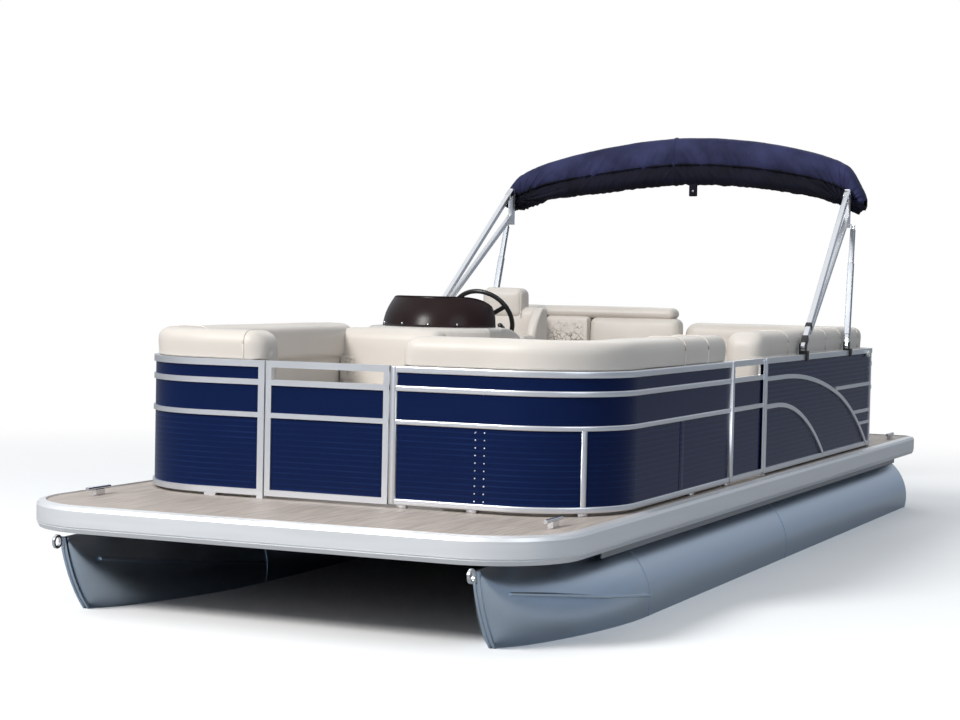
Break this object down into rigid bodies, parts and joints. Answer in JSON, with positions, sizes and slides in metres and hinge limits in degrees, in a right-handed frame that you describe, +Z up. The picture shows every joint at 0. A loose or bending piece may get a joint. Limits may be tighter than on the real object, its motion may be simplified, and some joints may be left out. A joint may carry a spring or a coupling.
{
  "type": "pontoon boat",
  "caption": "Pontoon boat on two aluminium tubes: deck, navy panelled fence with gates, cream lounges, helm, raised canopy in its boot, outboard motor.",
  "frame": {"origin": "on the waterline, at the middle of the deck in plan", "axes": "-Y to the bow, +X to port, +Z up"},
  "size_m": [2.59, 7.6571, 2.917],
  "materials": {
    "anodised_rail": "bright anodised extrusion",
    "navy_panel": "gloss navy painted sheet",
    "tube_aluminium": "brushed marine aluminium with weld seams",
    "mill_aluminium": "mill finish",
    "rub_aluminium": "satin anodised extrusion",
    "stainless": "polished stainless",
    "base_moulding": "rotomoulded seat base, fine grain",
    "cream_vinyl": "soft marine vinyl with piping",
    "deck_vinyl": "woven wood-grain vinyl floor",
    "console_gelcoat": "cream moulded console",
    "smoked_screen": "smoked acrylic",
    "black_plastic": "black nylon",
    "wheel_rubber": "soft black rim",
    "navy_canvas": "woven acrylic canvas, gathered",
    "motor_paint": "gloss black",
    "engine_iron": "plain block",
    "white_lens": "white lens"
  },
  "bodies": {
    "hull": {"canopy_rail_mounts": "black_plastic", "chair_pedestal": "stainless", "clamp_bracket": "motor_paint", "cleats": "stainless", "cross_beams": "mill_aluminium", "deck": "deck_vinyl", "fence_frame_aft_port": "anodised_rail", "fence_frame_bow_port": "anodised_rail", "fence_frame_bow_starboard": "anodised_rail", "fence_frame_side_starboard": "anodised_rail", "fence_frame_stern": "anodised_rail", "fence_panel_aft_port": "navy_panel", "fence_panel_bow_port": "navy_panel", "fence_panel_bow_starboard": "navy_panel", "fence_panel_side_starboard": "navy_panel", "fence_panel_stern": "navy_panel", "helm_console": "console_gelcoat", "ladder_mount": "stainless", "lounge_back_aft_port": "cream_vinyl", "lounge_back_aft_starboard": "cream_vinyl", "lounge_back_bow_port": "cream_vinyl", "lounge_back_bow_starboard": "cream_vinyl", "lounge_base_aft_port": "base_moulding", "lounge_base_aft_starboard": "base_moulding", "lounge_base_bow_port": "base_moulding", "lounge_base_bow_starboard": "base_moulding", "lounge_seat_aft_port": "cream_vinyl", "lounge_seat_aft_starboard": "cream_vinyl", "lounge_seat_bow_port": "cream_vinyl", "lounge_seat_bow_starboard": "cream_vinyl", "motor_pod": "mill_aluminium", "pontoon_port": "tube_aluminium", "pontoon_starboard": "tube_aluminium", "quarter_lamp": "white_lens", "riser_port": "mill_aluminium", "riser_starboard": "mill_aluminium", "rub_rail": "rub_aluminium", "steering_column": "black_plastic", "tow_eye_port": "stainless", "tow_eye_starboard": "stainless", "windscreen": "smoked_screen"},
    "bow_gate": {"bow_gate_frame": "anodised_rail", "bow_gate_panel": "navy_panel"},
    "side_gate": {"side_gate_frame": "anodised_rail", "side_gate_panel": "navy_panel"},
    "steering_wheel": {"steering_wheel": "wheel_rubber"},
    "helm_chair": {"helm_chair": "cream_vinyl"},
    "canopy": {"canopy_legs": "anodised_rail", "canopy_boot": "navy_canvas"},
    "canopy_braces": {"canopy_braces": "anodised_rail"},
    "motor_swivel": {"swivel_bracket": "motor_paint"},
    "outboard": {"motor_leg": "motor_paint", "cowling": "motor_paint", "powerhead": "engine_iron"},
    "propeller": {"propeller": "motor_paint"},
    "ladder": {"boarding_ladder": "stainless"}
  },
  "joints": [
    {"name": "bow_gate_hinge", "type": "hinge", "parent": "hull", "child": "bow_gate", "pos_m": [-0.4155, -2.5845, 0.6], "axis": [0, 0, 1], "range_deg": [0, 90]},
    {"name": "side_gate_hinge", "type": "hinge", "parent": "hull", "child": "side_gate", "pos_m": [1.1805, -0.7165, 0.6], "axis": [0, 0, 1], "range_deg": [0, 90]},
    {"name": "canopy_fold", "type": "hinge", "parent": "hull", "child": "canopy", "pos_m": [0, 0.7, 1.15], "axis": [-1, 0, 0], "range_deg": [0, 15]},
    {"name": "brace_fold", "type": "hinge", "parent": "hull", "child": "canopy_braces", "pos_m": [0, 1.73, 1.14], "axis": [-1, 0, 0], "range_deg": [0, 40]},
    {"name": "chair_swivel", "type": "hinge", "parent": "hull", "child": "helm_chair", "pos_m": [-0.86, 0.96, 0.84], "axis": [0, 0, 1], "range_deg": [-110, 0]},
    {"name": "motor_tilt", "type": "hinge", "parent": "hull", "child": "motor_swivel", "pos_m": [0, 3.745, 0.45], "axis": [1, 0, 0], "range_deg": [0, 62]},
    {"name": "motor_steer", "type": "hinge", "parent": "motor_swivel", "child": "outboard", "pos_m": [0, 3.85, 0.3], "axis": [0, 0, 1], "range_deg": [-30, 30]},
    {"name": "propeller_spin", "type": "hinge", "parent": "outboard", "child": "propeller", "pos_m": [0, 4.15, -0.3], "axis": [0, 1, 0], "continuous": true},
    {"name": "wheel_turn", "type": "hinge", "parent": "hull", "child": "steering_wheel", "pos_m": [-0.71, 0.5, 1.253], "axis": [0, -0.8829, -0.4695], "range_deg": [-600, 600]},
    {"name": "ladder_fold", "type": "hinge", "parent": "hull", "child": "ladder", "pos_m": [-0.84, 3.45, 0.505], "axis": [-1, 0, 0], "range_deg": [0, 250]}
  ],
  "couplings": [
    {"joint": "wheel_turn", "follows": "motor_steer", "ratio": 20}
  ]
}
